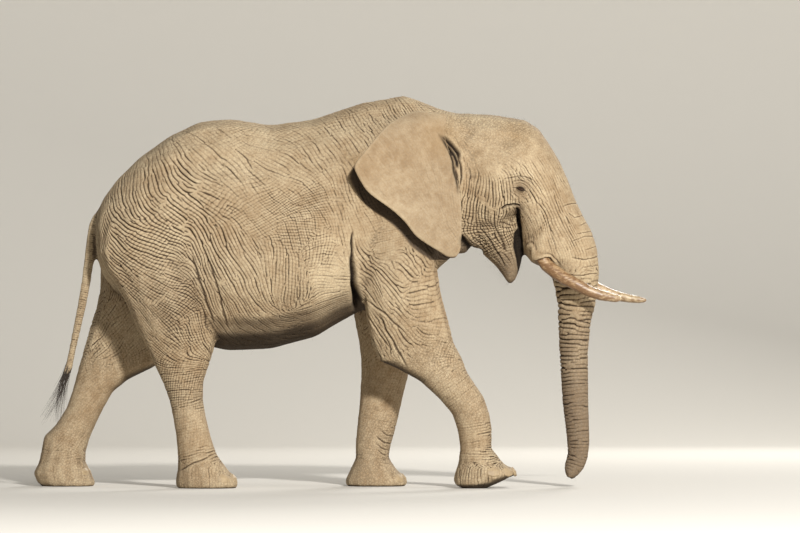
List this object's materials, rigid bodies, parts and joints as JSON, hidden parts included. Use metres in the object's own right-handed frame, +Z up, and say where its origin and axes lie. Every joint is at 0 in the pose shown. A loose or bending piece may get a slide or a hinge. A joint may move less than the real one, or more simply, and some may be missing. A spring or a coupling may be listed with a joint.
{
  "type": "african elephant",
  "caption": "Life-size African bush elephant bull in mid stride: wide ears, trunk hanging straight, curved tusks, thick pillar legs and a thin tasselled tail.",
  "frame": {"origin": "middle of the bounding box in plan, on the ground under the soles", "axes": "+X towards the head, +Y towards the animal's left, +Z up"},
  "size_m": [4.9319, 1.5166, 3.137],
  "materials": {
    "hide": "dry, dusty, deeply wrinkled elephant skin",
    "ivory": "worn ivory, polished at the tips and stained brown towards the socket",
    "nail": "dry horn, scuffed and dusty",
    "eye": "wet dark brown eyeball",
    "hair": "coarse dark wiry hair"
  },
  "bodies": {
    "root": {"torso": "hide", "neck": "hide", "head": "hide", "lower_jaw": "hide", "trunk_upper": "hide", "trunk_middle": "hide", "trunk_lower": "hide", "trunk_tip": "hide", "ear_right": "hide", "ear_left": "hide", "fore_leg_right_upper": "hide", "fore_leg_right_lower": "hide", "fore_foot_right": "hide", "fore_nail_right_1": "nail", "fore_nail_right_2": "nail", "fore_nail_right_3": "nail", "fore_nail_right_4": "nail", "fore_leg_left_upper": "hide", "fore_leg_left_lower": "hide", "fore_foot_left": "hide", "fore_nail_left_1": "nail", "fore_nail_left_2": "nail", "fore_nail_left_3": "nail", "fore_nail_left_4": "nail", "hind_leg_right_upper": "hide", "hind_leg_right_lower": "hide", "hind_foot_right": "hide", "hind_nail_right_1": "nail", "hind_nail_right_2": "nail", "hind_nail_right_3": "nail", "hind_leg_left_upper": "hide", "hind_leg_left_lower": "hide", "hind_foot_left": "hide", "hind_nail_left_1": "nail", "hind_nail_left_2": "nail", "hind_nail_left_3": "nail", "tail_base": "hide", "tail_end": "hide", "tail_tuft": "hair", "tusk_right": "ivory", "tusk_left": "ivory", "eye_right": "eye", "eye_left": "eye"}
  },
  "joints": []
}
